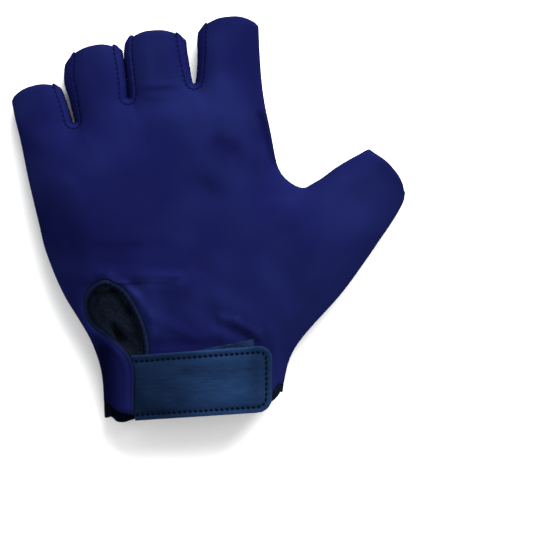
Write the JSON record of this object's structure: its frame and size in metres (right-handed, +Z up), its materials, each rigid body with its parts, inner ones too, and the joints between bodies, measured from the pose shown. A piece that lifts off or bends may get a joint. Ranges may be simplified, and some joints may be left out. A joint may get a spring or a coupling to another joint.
{
  "type": "fitness glove",
  "caption": "Fingerless left-hand fitness glove with a stretch cloth back, a leather palm with a sewn-on patch, a keyhole opening and a wrist closure strap.",
  "frame": {"origin": "middle of the underside of the glove's box, on the surface it lies on", "axes": "+X towards the thumb, +Y towards the fingertips, +Z up out of the back of the hand"},
  "size_m": [0.1588, 0.162, 0.0239],
  "materials": {
    "cloth": "smooth stretch knit, matt",
    "cloth_side": "smooth stretch knit, matt",
    "leather": "pebbled grain, satin",
    "patch": "fine grain, satin",
    "strap": "brushed, matt",
    "tape": "folded tape, matt",
    "loop": "looped pile",
    "lining": "short nap, matt"
  },
  "bodies": {
    "root": {"back_panel": "cloth", "palm_panel": "leather", "palm_overlay": "patch", "palm_lining": "lining", "palm_cuff_tape": "tape", "back_cuff_tape": "tape", "fourchette_little_ring": "cloth_side", "fourchette_ring_middle": "cloth_side", "fourchette_middle_index": "cloth_side", "keyhole_binding": "tape", "wrist_strap": "strap", "loop_patch": "loop"}
  },
  "joints": []
}
